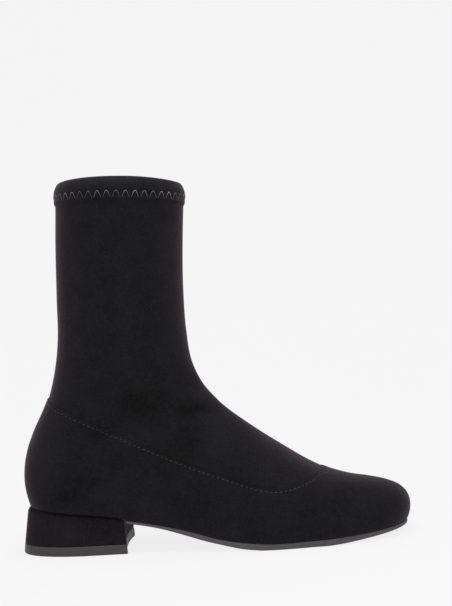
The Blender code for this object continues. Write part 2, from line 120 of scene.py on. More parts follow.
# Lower edge of the upper, where it meets sole and heel
FEATHER = table(
    "x z",
    (3.6, 29), (17, 27.4), (33, 25.8), (51, 23.8), (65, 21.7), (85, 18),
    (104, 13.6), (126, 7.7), (149, 4.7), (177, 4.4), (209, 5.5), (234, 6.9),
    (247.6, 7.7),
)
# Upper edge of the foot panel in side view, from the back seam to the throat
PANEL_EDGE = table(
    "x z",
    (18.2, 98.6), (22, 95.6), (30, 91.9), (49.3, 82.5), (66.2, 74.2), (94.2, 60.6),
    (115.9, 51.2), (133.3, 44.8), (150, 39), (160.7, 36.9), (167.8, 37.2), (176, 38.6),
    (184.8, 41.2), (190.7, 43), (196.2, 43.4),
)
# Lower edge of the outsole's side
SOLE_EDGE = table(
    "x z",
    (58, 20.4), (75, 17.7), (88, 14.9), (100, 11.4), (115, 6.8), (126, 4.1),
    (137, 1.7), (150, 0.25), (192, 0.25), (203, 1), (215, 2.2), (230, 3.5),
    (247.6, 5),
)
# Plan of the upper's lower edge: half widths to either side of the spine
OUTLINE = table(
    "x outer inner",
    (45, 27.8, 27.5), (65, 28.2, 26.6), (85, 29, 25), (105, 31.6, 25),
    (125, 36.2, 28), (145, 41.2, 32.6), (160, 43.5, 35.6), (172, 43.4, 37.4),
    (185, 42.5, 38),
)
# The spine swings to the inner side along the forefoot
SPINE = table("x y", (-5.0, 0.0), (90.0, 0.0), (118.0, 0.3), (150.0, 2.3), (185.0, 4.5),
              (220.0, 5.7), (250.0, 6.0))
# Cross sections along the boot, by station: minus the distance ahead of the ankle pivot, the
# angle in hundredths of a radian round it, and the height above it added to a right angle
SECTIONS = table(
    "at outer inner widest square taper",
    (-35, 44, 39.3, 0.22, 2.1, 0.06),
    (0, 43.6, 34.9, 0.22, 2.1, 0.24),
    (25, 37.4, 33, 0.26, 2.1, 0.27),
    (45, 33.6, 32, 0.30, 2.1, 0.22),
    (70, 31.6, 31.4, 0.32, 2.2, 0.15),
    (97, 31.2, 31, 0.36, 2.4, 0.09),
    (125, 31.2, 30.8, 0.44, 2.3, 0.05),
    (157, 31.2, 31, 0.48, 2.15, 0.03),
    (200, 32, 32, 0.50, 2.1, 0),
    (263, 33.4, 33.4, 0.50, 2.1, 0),
)
HEEL_CURVE_X = 45.0
HEEL_CURVE_POWER = 2.2
TOE_X = 185.0
TOE_POWER = 2.0
ANKLE_PIVOT = (150.0, 130.0)
RIGHT_ANGLE_STATION = 50.0 * math.pi
# Lengths along the side view lines between which a mark is looked for
THROAT_BETWEEN = (60.0, 200.0)
FRONT_HEM_BETWEEN = (200.0, 500.0)
COUNTER_TOP_BETWEEN = (40.0, 120.0)
BACK_HEM_BETWEEN = (120.0, 300.0)

# Fineness of the meshes
LINE_POINTS = 1500       # along a side view line
EDGE_POINTS = 400        # along the foot panel's edge
SEAT_POINTS = 300        # along the seat of the heel
AROUND = 300             # columns round the upper
SEAM_COLUMNS = (0.006, 0.012, 0.018, 0.026, 0.036, 0.05)
HEM_RINGS = 26
RIM_FRONT_RINGS = 5
RIM_STEPS = 17
STITCH_LINE_POINTS = 1400
STITCH_RINGS = 7         # for each stitch
STITCH_SIDES = 6
HEM_LINE_POINTS = 721
ZIGZAG_STEPS = 14        # for each turn of the zigzag
ZIGZAG_SIDES = 7
OUTSOLE_STATIONS = 321
OUTSOLE_ACROSS = 80
INSOLE_STATIONS = 161
INSOLE_ACROSS = 24
HEEL_SIDE_POINTS = 60
HEEL_CORNER_POINTS = 5
HEEL_FRONT_POINTS = 19

# Rings of the upper, in spans of even spacing: first level, last level and count
FOOT_SPANS = ((0.0, 0.05, 9), (0.065, 0.9, 52), (0.906, 0.99, 14))
SHAFT_SPANS = ((1.0003, 1.012, 5), (1.02, 1.98, 84))
HEM_LINING_SPANS = ((2.82, 2.06, 14),)
LINING_SPANS = ((2.02, 1.02, 26), (1.0, 0.0, 26))
# Where the hem's lining meets the shaft's: level, and share of the hem's inner thickness
HEM_LINING_END = ((2.035, 0.8), (2.025, 0.3))
LIP_SHARES = np.linspace(0.15, 1.0, 7) ** 1.5
LIP_SPAN = 0.0075        # the closest rings lie within this part of a level, at the panel's edge
HEM_FRONT_END = 0.62     # share of the hem's height up to which its front rings run
RIM_START = 2.66         # level of the first ring after them

# Detail of the looks
EDGE_ROUND = 0.5         # rounding of the foot panel's cut edge
STITCH_DOWN = 1.8        # the stitch row runs this far below that edge
STITCH_PITCH = 3.1
STITCH_LENGTH = 1.65
STITCH_RADIUS = 0.17
STITCH_PROUD = 0.9       # a stitch's middle lies this share of its radius above the suede
STITCH_SINK = 0.22       # and its ends this much lower
STITCH_GROOVE = 0.16     # the row pulls the suede in by this much
STITCH_GROOVE_HALF = 0.5
STITCH_DIM_X = 110.0     # behind this the stitches get darker
STITCH_DIM_FADE = 50.0
HEEL_MIDDLE = 35.0       # the breast's lean follows the heights that the block has here
COVER_CORNER = 0.7       # rounding of the heel's upright edges beside the breast
TIP_CORNER = 0.5
FEATHER_ROLL = 1.3       # the upper rolls in above the heel by this much
SOLE_ROLL = 0.7          # and above the sole
FEATHER_ROLL_HEIGHT = 1.9
TUCKED_HEIGHT = 1.1      # the lowest part of that roll, which lies in the shade
ROLL_SHADE = 0.3         # the roll is painted darker by this much, painted shade in the groove
ROLL_SHADE_HEEL = 0.4    # and above the heel by this much more
OVER_HEEL_END = 2.0      # the upper stands on the heel up to this far ahead of its breast
OVER_HEEL_FADE = 6.0
CREASE_START = 8.0       # the creases fade in over this length up from the lower edge
CREASE_REACH = 0.6       # they fade at this share of their length and width
SEAM_DEPTH = 0.4         # back seam of the shaft
SEAM_HALF = 0.45
SEAM_RIDGE = 0.22
SEAM_RIDGE_AT = 1.5
SEAM_RIDGE_HALF = 0.8
SEAM_START = 2.0         # it fades in over this much of the shaft's foot
SEAM_AHEAD_X = 60.0      # there is none ahead of this
HEM_RAMP = 1.3           # the hem swells out over this height
ZIGZAG_LOW = 0.5         # heights of the zigzag above the hem's lower edge
ZIGZAG_HIGH = 6.0
ZIGZAG_COUNT = 41
ZIGZAG_LEVEL = 2.25      # its turns are even along the ring at this level
ZIGZAG_BLUNT = 0.68      # how quickly a turn leaves its lowest point
ZIGZAG_RADIUS = 0.19
ZIGZAG_SINK = 0.36       # its lower turns go into the nap by this much
# share of the thread's lightness left at the lowest turns, under the painted shade
ZIGZAG_LOW_TONE = 0.08
ZIGZAG_PROUD = 0.8       # its upper turns lie this share of the radius above the nap
ZIGZAG_PULL = 0.45       # it pulls the hem in by this much
ZIGZAG_PULL_HALF = 2.8
DISH_DEPTH = 0.5         # hollow of the insole under the heel
DISH_BACK_X = 6.0
DISH_BACK_FADE = 14.0
DISH_FRONT_X = 90.0
DISH_FRONT_FADE = 40.0
PATCH_SIDE = 0.8         # the tread patch rises within this much of its sides
PATCH_END = 1.2          # and of its ends
WAVE_LENGTH = 0.314      # one band of the wave texture at scale 1

# Soft troughs and ridges of the upper in side view: middle, direction in degrees, length,
# width, and depth (ridges are negative)
CREASES = table(
    "x z turn length width depth",
    (116.5, 86.4, -23, 11, 3.4, 1),
    (117, 94.5, -24, 12, 5, -0.35),
    (104, 86, -38, 20, 6, 0.7),
    (88, 104, 28, 22, 6, 0.6),
    (72, 88, -30, 24, 7, 0.6),
    (52, 100, 18, 18, 6, 0.5),
    (60, 122, 8, 30, 8, 0.5),
    (84, 134, -10, 24, 8, 0.5),
    (140, 62, -35, 26, 8, -0.5),
    (162, 50, -28, 22, 7, 0.4),
    (100, 40, -20, 30, 8, 0.4),
    (66, 48, -35, 18, 7, 0.4),
    (196, 26, -12, 26, 8, 0.35),
)
# Patches of the nap in side view, partly brushed nap and partly painted light (painted shade in
# creases and along the toe's rim, painted highlights on the hem's top edge and a ridge): middle,
# half sizes, and how much lighter (or darker)
NAP_AND_PAINTED_LIGHT_PATCHES = table(
    "x z along up tone",
    (80, 92, 17, 10, -0.30), (110, 88, 10, 4.5, -0.35),
    (106, 68, 9, 15, -0.32), (31, 37, 10, 6, -0.40),
    (43, 45, 8, 6, -0.22), (54, 76, 9, 6, -0.25),
    (62, 60, 8, 5, -0.20), (107, 30, 13, 8, -0.15),
    (14, 31, 7, 5, -0.30), (92, 52, 9, 6, -0.15),
    (227, 32, 22, 4.5, -0.28), (163, 20, 10, 6, 0.20),
    (51, 38, 6, 4, 0.30), (70, 72, 10, 5, 0.22),
    (20, 66, 9, 16, 0.25), (128, 70, 8, 12, 0.18),
    (155, 54, 20, 8, 0.06), (72, 231, 60, 4.5, 0.22),
    (86, 30, 9, 5, 0.18), (72, 236.8, 60, 3.6, 1),
    (106, 178, 13, 55, 0.16), (115, 86.6, 7, 2, -0.30),
    (30, 12, 12, 6, 0.20), (52, 16, 9, 5, -0.20), (242, 18, 6, 10, -0.28),
    (200, 30, 26, 14, -0.16), (118.5, 95.5, 8, 4.5, 0.22), (126, 80, 7, 4.5, 0.18),
)


def smooth(xs, ys, x):
    """A smooth curve through the points (xs, ys), read at x."""
    slopes = np.gradient(ys, xs)
    i = np.clip(np.searchsorted(xs, x) - 1, 0, len(xs) - 2)
    gap = xs[i + 1] - xs[i]
    t = np.clip((x - xs[i]) / gap, 0.0, 1.0)
    rise = t * t * (3.0 - 2.0 * t)
    start = t * (1.0 - t) ** 2 * gap * slopes[i]
    end = t * t * (t - 1.0) * gap * slopes[i + 1]
    return ys[i] + (ys[i + 1] - ys[i]) * rise + start + end


def ease(t):
    """A soft step from 0 to 1."""
    t = np.clip(t, 0.0, 1.0)
    return t * t * (3.0 - 2.0 * t)


def bell(distance):
    """A soft bump: 1 at no distance, almost 0 from two on."""
    return np.exp(-distance * distance)


def unit(vectors):
    """The same directions with length 1."""
    return vectors / np.linalg.norm(vectors, axis=-1, keepdims=True)


def lengths_along(points):
    """Length along rows of points, up to each of them."""
    steps = np.linalg.norm(np.diff(points, axis=0), axis=-1)
    return np.concatenate([np.zeros((1, *steps.shape[1:])), np.cumsum(steps, axis=0)])


def points_at(points, measure, at):
    """Points of a line where a measure along it has some values."""
    return np.stack([np.interp(at, measure, points[:, axis]) for axis in range(3)], axis=-1)


def round_end(share, power):
    """Half width of a rounded end, a share of the way out to its tip."""
    return (1.0 - share ** power) ** (1.0 / power)


def dense_line(line):
    """A side view line as many close points, with the length up to each."""
    length = lengths_along(np.stack([line["x"], line["z"]], axis=-1))
    along = np.linspace(0.0, length[-1], LINE_POINTS)
    x = smooth(length, line["x"], along)
    z = smooth(length, line["z"], along)
    return {"along": along, "x": x, "z": z}


def feather_z(x):
    """Height of the upper's lower edge."""
    return smooth(FEATHER["x"], FEATHER["z"], x)


def spine_y(x):
    """Middle of the last's plan."""
    return smooth(SPINE["x"], SPINE["y"], x)


def outline_half(x, side):
    """Half width of the upper's lower edge at x; side is "outer" or "inner"."""
    back, front = FEATHER["x"][0], FEATHER["x"][-1]
    half = smooth(OUTLINE["x"], OUTLINE[side], np.clip(x, HEEL_CURVE_X, TOE_X))
    heel = np.clip((HEEL_CURVE_X - x) / (HEEL_CURVE_X - back), 0.0, 1.0)
    toe = np.clip((x - TOE_X) / (front - TOE_X), 0.0, 1.0)
    return half * round_end(heel, HEEL_CURVE_POWER) * round_end(toe, TOE_POWER)


FRONT = dense_line(FRONT_LINE)
BACK = dense_line(BACK_LINE)


def ankle_polar(x, z):
    """Station and distance of a side view point, seen from the ankle pivot."""
    ahead = ANKLE_PIVOT[0] - x
    below = ANKLE_PIVOT[1] - z
    angle = np.arctan2(ahead, np.maximum(below, 0.0))
    station = np.where(below > 0.0, 100.0 * angle, RIGHT_ANGLE_STATION - below)
    return station, np.where(below > 0.0, np.hypot(ahead, below), ahead)


def ankle_ends():
    """Where each ankle and shaft section starts and ends, by station."""
    above = FRONT["x"] <= ANKLE_PIVOT[0]
    front_at, front_reach = ankle_polar(FRONT["x"][above], FRONT["z"][above])
    seat_x = np.linspace(ANKLE_PIVOT[0], FEATHER["x"][0], SEAT_POINTS)
    far_x = np.concatenate([seat_x, BACK["x"][1:]])
    far_z = np.concatenate([feather_z(seat_x), BACK["z"][1:]])
    far_at, far_reach = ankle_polar(far_x, far_z)
    closed = np.zeros(len(BACK["x"]) - 1)
    edge = {side: np.concatenate([outline_half(seat_x, side), closed])
            for side in ("outer", "inner")}
    return front_at, front_reach, far_at, far_reach, edge


ANKLE_ENDS = ankle_ends()


def toe_reach():
    """Distance from the toe pivot to the front line, by angle from upright."""
    ahead = FRONT["x"] >= TOE_X
    x = FRONT["x"][ahead][::-1] - TOE_X
    z = FRONT["z"][ahead][::-1] - feather_z(TOE_X)
    return np.arctan2(x, z), np.hypot(x, z)


TOE_ANGLES, TOE_REACH = toe_reach()


def place(x, z, side):
    """Station, share of the way up the section, and half width at its lower end."""
    front_at, front_reach, far_at, far_reach, edge = ANKLE_ENDS
    at, reach = ankle_polar(x, z)
    far = np.interp(at, far_at, far_reach)
    near = np.interp(at, front_at, front_reach)
    share = (far - reach) / (far - near)
    low = np.interp(at, far_at, edge[side])

    upright = x >= ANKLE_PIVOT[0]
    top = np.interp(x, FRONT["x"][::-1], FRONT["z"][::-1])
    bottom = feather_z(x)
    at = np.where(upright, ANKLE_PIVOT[0] - x, at)
    share = np.where(upright, (z - bottom) / np.maximum(top - bottom, 1.0), share)
    low = np.where(upright, outline_half(x, side), low)

    toe = x > TOE_X
    angle = np.arctan2(x - TOE_X, z - feather_z(TOE_X))
    reach = np.interp(angle, TOE_ANGLES, TOE_REACH)
    share = np.where(toe, np.hypot(x - TOE_X, z - feather_z(TOE_X)) / reach, share)
    low = np.where(toe, outline_half(TOE_X, side), low)
    lying = np.where(toe, np.clip(angle / (0.5 * math.pi), 0.0, 1.0), 0.0)
    return at, np.clip(share, 0.0, 1.0), low, lying


def half_width(x, z, side):
    """Half width of the upper at a point of the side view."""
    at, share, low, lying = place(x, z, side)
    row = {name: smooth(SECTIONS["at"], values, at) for name, values in SECTIONS.items()}
    full = np.maximum(row[side], low * 1.001)
    full = full + (low - full) * lying
    widest = row["widest"] * (1.0 - lying)
    taper = row["taper"] * (1.0 - lying)
    cut = round_end(low / full, row["square"])
    below = share < widest
    down = cut * (widest - share) / np.maximum(widest, 0.001)
    up = (share - widest) / (1.0 - widest)
    low_form = round_end(np.clip(down, 0.0, 1.0), row["square"])
    up_form = np.sqrt(1.0 - np.clip(up, 0.0, 1.0) ** 2) * (1.0 - taper * up * up)
    return full * np.where(below, low_form, up_form)


def line_point(line, start, end, share):
    """Point of a dense line, a share of the way between two lengths along it."""
    along = start + (end - start) * share
    return np.interp(along, line["along"], line["x"]), np.interp(along, line["along"], line["z"])


def length_at(line, column, value, first, last):
    """Length along a dense line where a column reaches a value, between two lengths."""
    inside = (line["along"] >= first) & (line["along"] <= last)
    best = np.argmin(np.abs(line[column][inside] - value))
    return line["along"][inside][best]


FRONT_MARKS = (0.0, length_at(FRONT, "x", PANEL_EDGE["x"][-1], *THROAT_BETWEEN),
               length_at(FRONT, "z", COLLAR_FRONT - HEM_HEIGHT, *FRONT_HEM_BETWEEN),
               FRONT["along"][-1])
BACK_MARKS = (0.0, length_at(BACK, "z", PANEL_EDGE["z"][0], *COUNTER_TOP_BETWEEN),
              length_at(BACK, "z", COLLAR_BACK - HEM_HEIGHT, *BACK_HEM_BETWEEN),
              BACK["along"][-1])
SHAFT_LENGTH = 0.5 * (FRONT_MARKS[2] - FRONT_MARKS[1] + BACK_MARKS[2] - BACK_MARKS[1])


def bow(line, share):
    """How far a side view line lies above the straight one between its ends."""
    x = line["x"][0] + (line["x"][-1] - line["x"][0]) * share
    straight = line["z"][0] + (line["z"][-1] - line["z"][0]) * share
    return smooth(line["x"], line["z"], x) - straight


def ring_side_view(level, share):
    """Side view point of the ring at a level, a share of the way from back to front.

    Level 0 is the lower edge, 1 the edge of the foot panel, 2 the foot of the hem and 3
    the collar.
    """
    part = 2 if level >= 3.0 else int(level)
    rise = level - part
    front_x, front_z = line_point(FRONT, FRONT_MARKS[part], FRONT_MARKS[part + 1], rise)
    back_x, back_z = line_point(BACK, BACK_MARKS[part], BACK_MARKS[part + 1], rise)
    x = back_x + (front_x - back_x) * share
    z = back_z + (front_z - back_z) * share
    edge_bow = bow(PANEL_EDGE, share)
    if part == 0:
        return x, z + bow(FEATHER, share) * (1.0 - rise) + edge_bow * rise
    arch = COLLAR_ARCH * 4.0 * share * (1.0 - share) * (0.5 * (level - 1.0)) ** 2
    return x, z + edge_bow * max(2.0 - level, 0.0) ** EDGE_FADE_POWER + arch


def upper_surface(level, turn):
    """Points of the upper's smooth outside; turn runs round from the back by the outer side."""
    share = 0.5 * (1.0 - np.cos(turn))
    x, z = ring_side_view(level, share)
    outer = np.sin(turn) > 0.0
    half = np.where(outer, -half_width(x, z, "outer"), half_width(x, z, "inner"))
    half = np.where(np.abs(np.sin(turn)) < 1e-9, 0.0, half)
    return np.stack([x, spine_y(x) + half, z], axis=-1)


def upper_normals(level, turn):
    """Outward normals of that surface."""
    step = 0.02
    low, high = max(level - step, 0.0), min(level + step, 3.0)
    up = upper_surface(high, turn) - upper_surface(low, turn)
    round_ = upper_surface(level, turn + step) - upper_surface(level, turn - step)
    return unit(np.cross(round_, up))


def panel_fade(level):
    """How much of the foot panel's thickness is still felt at a level of the shaft."""
    if level <= 1.0:
        return 1.0
    return max(1.0 - (level - 1.0) * SHAFT_LENGTH / PANEL_FADE, 0.0) ** 2


def hem_lean(level):
    """How far the hem leans in at a level."""
    lean = max(level - 2.0 - HEM_CURL_START, 0.0) / (1.0 - HEM_CURL_START)
    return -HEM_CURL * lean ** 2


def columns():
    """Turns of the upper's columns, closer beside the back seam."""
    even = np.linspace(0.0, FULL_TURN, AROUND, endpoint=False)
    beside = np.array(SEAM_COLUMNS)
    return np.unique(np.concatenate([even, beside, FULL_TURN - beside]))


def levels_of(spans):
    """Levels of the rings in some spans."""
    return np.concatenate([np.linspace(*span) for span in spans])


def outside_rings():
    """Level and offset of each ring of the outside, from the lower edge into the hem."""
    lip = 1.0 - LIP_SPAN * (1.0 - LIP_SHARES)
    rings = [(level, 0.0) for level in np.concatenate([levels_of(FOOT_SPANS), lip])]
    rings += [(level, -PANEL_STEP * panel_fade(level)) for level in levels_of(SHAFT_SPANS)]
    for height in np.linspace(-HEM_RAMP, HEM_FRONT_END * HEM_HEIGHT, HEM_RINGS):
        level = 2.0 + height / (HEM_HEIGHT if height > 0.0 else SHAFT_LENGTH)
        proud = HEM_PROUD * float(ease(0.5 + height / (2.0 * HEM_RAMP)))
        rings.append((level, proud + hem_lean(level)))
    return rings


def rim_rings():
    """Rings over the collar and down the inside of the hem."""
    middle = 0.5 * (HEM_PROUD - WALL_SHAFT - HEM_INSIDE)
    radius = 0.5 * (HEM_PROUD + WALL_SHAFT + HEM_INSIDE)
    rim_foot = 3.0 - radius / HEM_HEIGHT
    rings = [(level, HEM_PROUD + hem_lean(level))
             for level in np.linspace(RIM_START, rim_foot, RIM_FRONT_RINGS, endpoint=False)]
    for angle in np.linspace(0.0, math.pi, RIM_STEPS):
        level = rim_foot + radius * math.sin(angle) / HEM_HEIGHT
        rings.append((level, middle + radius * math.cos(angle) + hem_lean(level)))
    for level in levels_of(HEM_LINING_SPANS):
        rings.append((level, -WALL_SHAFT - HEM_INSIDE + hem_lean(level)))
    for level, share in HEM_LINING_END:
        rings.append((level, -WALL_SHAFT - share * HEM_INSIDE))
    return rings


def inside_rings():
    """Rings of the lining, from the foot of the hem down to the insole."""
    return [(level, -WALL_SHAFT - (WALL_FOOT - WALL_SHAFT) * panel_fade(level))
            for level in levels_of(LINING_SPANS)]


def crease_depth(points):
    """How far the creases take the outside in, at each point."""
    depth = np.zeros(points.shape[:-1])
    for crease in rows_of(CREASES):
        turn = math.radians(crease["turn"])
        from_x = points[..., 0] - crease["x"]
        from_z = points[..., 2] - crease["z"]
        along = from_x * math.cos(turn) + from_z * math.sin(turn)
        beside = from_z * math.cos(turn) - from_x * math.sin(turn)
        away = np.hypot(along / crease["length"], beside / crease["width"])
        depth = depth + crease["depth"] * bell(away / CREASE_REACH)
    return depth


def edge_relief(rise):
    """Offset beside the foot panel's edge, by the height above it: rounding and stitch groove."""
    short = np.clip(rise + EDGE_ROUND, 0.0, EDGE_ROUND)
    rounding = EDGE_ROUND - np.sqrt(EDGE_ROUND ** 2 - short ** 2)
    rounding = np.where(rise > 0.0, 0.0, rounding)
    groove = STITCH_GROOVE * bell((rise + STITCH_DOWN) / STITCH_GROOVE_HALF)
    return -rounding - groove


def seam_relief(points, rise):
    """Offset of the back seam: a fine groove between two soft ridges, on the shaft."""
    beside = np.where(points[..., 0] > SEAM_AHEAD_X, np.inf, np.abs(points[..., 1]))
    groove = SEAM_DEPTH * bell(beside / SEAM_HALF)
    ridge = SEAM_RIDGE * bell((beside - SEAM_RIDGE_AT) / SEAM_RIDGE_HALF)
    return (ridge - groove) * ease(rise / SEAM_START)


def edge_distance(points):
    """Distance of each point from the foot panel's edge, in side view."""
    x = np.linspace(PANEL_EDGE["x"][0], PANEL_EDGE["x"][-1], EDGE_POINTS)
    z = smooth(PANEL_EDGE["x"], PANEL_EDGE["z"], x)
    return np.array([np.hypot(row[:, None, 0] - x, row[:, None, 2] - z).min(axis=1)
                     for row in points])


def over_heel(points):
    """1 where the upper stands on the heel, fading to 0 where it stands on the sole."""
    return ease((BREAST_X + OVER_HEEL_END - points[..., 0]) / OVER_HEEL_FADE)


def skin(turn):
    """The outside of the upper: points, normals, and each point's place along the columns.

    `up` is the length along the column above the foot panel's edge, and `rise` the distance
    from that edge, below it less than 0.
    """
    rings = outside_rings()
    base = np.array([upper_surface(level, turn) for level, _ in rings])
    normals = np.array([upper_normals(level, turn) for level, _ in rings])
    length = lengths_along(base)
    levels = np.array([level for level, _ in rings])
    up = length - length[levels <= 1.0][-1]
    rise = np.where(levels <= 1.0, -1.0, 1.0)[:, None] * edge_distance(base)
    offset = np.array([offset for _, offset in rings])[:, None] + np.zeros_like(rise)
    offset = offset + edge_relief(rise) + seam_relief(base, up)
    roll = np.clip(1.0 - length / FEATHER_ROLL_HEIGHT, 0.0, 1.0)
    offset = offset - roll ** 2 * (SOLE_ROLL + (FEATHER_ROLL - SOLE_ROLL) * over_heel(base))
    offset = offset - crease_depth(base) * ease(length / CREASE_START)
    height = (levels - 2.0)[:, None] * np.where(levels > 2.0, HEM_HEIGHT, SHAFT_LENGTH)[:, None]
    middle = 0.5 * (ZIGZAG_LOW + ZIGZAG_HIGH)
    offset = offset - ZIGZAG_PULL * bell((height - middle) / ZIGZAG_PULL_HALF)
    points = base + offset[..., None] * normals
    return {"turn": turn, "levels": levels, "points": points, "normals": normals,
            "up": up, "rise": rise, "length": length}


def lift(rings, turn):
    """Points of plain rings, without relief."""
    return np.array([upper_surface(level, turn) + offset * upper_normals(level, turn)
                     for level, offset in rings])


def nap_and_painted_light_tone(points):
    """How much lighter or darker the nap lies, by the listed patches: partly nap, partly painted
    shade and painted highlights.
    """
    tone = np.zeros(points.shape[:-1])
    for patch in rows_of(NAP_AND_PAINTED_LIGHT_PATCHES):
        along = (points[..., 0] - patch["x"]) / patch["along"]
        up = (points[..., 2] - patch["z"]) / patch["up"]
        tone = tone + patch["tone"] * bell(np.hypot(along, up))
    return tone


def frame_shift():
    """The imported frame's origin in boot millimetres, from the heel tip's own box."""
    low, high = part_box("heel_tip")
    return np.array([HEEL_BACK_LOW - low.x / MM, -0.5 * (low.y + high.y) / MM, 0.0])


def add_object(name, data):
    """A new object of the scene."""
    made = bpy.data.objects.new(name, data)
    bpy.context.scene.collection.objects.link(made)
    return made


def add_mesh(name, points, faces, materials, shift, tone=None, sharp=None):
    """A smooth shaded object from boot millimetres."""
    mesh = bpy.data.meshes.new(name)
    mesh.from_pydata(((np.asarray(points).reshape(-1, 3) - shift) * MM).tolist(), [], faces)
    mesh.validate()
    for material in materials:
        mesh.materials.append(material)
    mesh.shade_smooth()
    if sharp is not None:
        mesh.set_sharp_from_angle(angle=math.radians(sharp))
    if tone is not None:
        store = mesh.attributes.new("tone", "FLOAT", "POINT")
        store.data.foreach_set("value", np.asarray(tone, dtype=np.float32).ravel())
    return add_object(name, mesh)


def ring_faces(rows, count, closed=False):
    """Quads between rings that follow on from each other."""
    faces = []
    for row in range(rows if closed else rows - 1):
        above = (row + 1) % rows
        for i in range(count):
            j = (i + 1) % count
            faces.append((row * count + i, above * count + i, above * count + j, row * count + j))
    return faces


def upper_piece(shift, suede, lining, tucked):
    """The whole upper: suede outside and hem, lining inside, one closed wall.

    The suede that is tucked in above the heel takes a darker copy of the suede, without sheen:
    painted shade in the groove.
    """
    turn = columns()
    shape = skin(turn)
    outside = shape["points"]
    rim = lift(rim_rings(), turn)
    inside = lift(inside_rings(), turn)
    inside[-1][:, 2] = feather_z(inside[-1][:, 0])
    points = np.concatenate([outside, rim, inside])
    faces = ring_faces(len(points), len(turn), closed=True)
    # patches of nap, with painted shade in creases and painted highlights on ridges and the hem's
    # top
    tone = nap_and_painted_light_tone(points)
    # Painted shade: the roll above sole and heel is darkened, more where it stands on the heel.
    shade = ROLL_SHADE + ROLL_SHADE_HEEL * over_heel(outside)
    tone[:len(outside)] -= shade * ease(1.0 - shape["length"] / FEATHER_ROLL_HEIGHT)
    piece = add_mesh("upper_skin", points, faces, [suede, lining, tucked], shift, tone, sharp=50)
    first_inside = (len(outside) + len(rim)) * len(turn)
    # The lowest faces of the roll above the heel take the darker suede copy: painted shade.
    along = np.where(over_heel(outside) > 0.5, shape["length"], np.inf).ravel()
    slots = []
    for face in faces:
        low = min(face)
        inside_face = low >= first_inside
        rolled = low < len(along) and along[low] < TUCKED_HEIGHT
        slots.append(1 if inside_face else 2 if rolled else 0)
    piece.data.polygons.foreach_set("material_index", slots)
    return piece, shape


def skin_at(shape, turn, measure, value, rows):
    """Points and normals on the outside at some turns, where a measure has some values."""
    turns = shape["turn"]
    after = np.searchsorted(turns, turn) % len(turns)
    before = (after - 1) % len(turns)
    span = (turns[after] - turns[before]) % FULL_TURN
    share = ((turn - turns[before]) % FULL_TURN) / span
    found = []
    for values in (shape["points"], shape["normals"]):
        near, far = [np.array([points_at(values[rows, c], shape[measure][rows, c], v)
                               for v, c in zip(value, side)]) for side in (before, after)]
        found.append(near + (far - near) * share[:, None])
    return found


def tube(points, radii, normals, sides, closed=False):
    """Rings of a thread along points; a closed one runs back into its start."""
    ahead = np.gradient(points, axis=0)
    if closed:
        ahead = np.roll(points, -1, axis=0) - np.roll(points, 1, axis=0)
    beside = unit(np.cross(unit(ahead), normals))
    up = np.cross(beside, unit(ahead))
    angles = np.linspace(0.0, FULL_TURN, sides, endpoint=False)[:, None]
    ring = np.cos(angles) * beside[:, None, :] + np.sin(angles) * up[:, None, :]
    return points[:, None, :] + radii[:, None, None] * ring


def open_thread(i):
    """How openly the thread lies at stitch i, from 0.2 to 1, without a set pattern."""
    return 0.6 + 0.25 * math.sin(1.7 * i) + 0.15 * math.sin(0.41 * i + 2.0)


def stitch_piece(shape, thread, shift):
    """The row of stitches below the foot panel's edge, as one mesh."""
    turn = np.linspace(0.0, FULL_TURN, STITCH_LINE_POINTS)[1:-1]
    rows = (shape["levels"] > 0.6) & (shape["levels"] <= 1.0)
    line, normal = skin_at(shape, turn, "rise", np.full(len(turn), -STITCH_DOWN), rows)
    length = lengths_along(line)
    count = int(length[-1] / STITCH_PITCH)
    along = np.linspace(-1.0, 1.0, STITCH_RINGS)
    radii = STITCH_RADIUS * (0.55 + 0.45 * np.sqrt(1.0 - along ** 2))
    raised = STITCH_RADIUS * STITCH_PROUD - STITCH_SINK * along ** 2
    points, faces, tone = [], [], []
    for i in range(count):
        at = (i + 0.5) * length[-1] / count + 0.5 * STITCH_LENGTH * along
        up = points_at(normal, length, at)
        middle = points_at(line, length, at) + up * raised[:, None]
        rings = tube(middle, radii, up, STITCH_SIDES)
        size = STITCH_RINGS * STITCH_SIDES
        first = list(range(STITCH_SIDES))
        last = [size - 1 - k for k in first]
        stitch = ring_faces(STITCH_RINGS, STITCH_SIDES) + [first, last]
        faces += [tuple(i * size + k for k in face) for face in stitch]
        points.append(rings.reshape(-1, 3))
        behind = 1.0 - 0.5 * float(ease((STITCH_DIM_X - middle[0, 0]) / STITCH_DIM_FADE))
        tone += [open_thread(i) * behind] * size
    return add_mesh("panel_stitches", np.concatenate(points), faces, [thread], shift, tone)


def whole_ring(shape, name, level):
    """Values on the ring nearest to a level, with the first of them again at the end."""
    ring = shape[name][np.argmin(np.abs(shape["levels"] - level))]
    return np.concatenate([ring, ring[:1]])


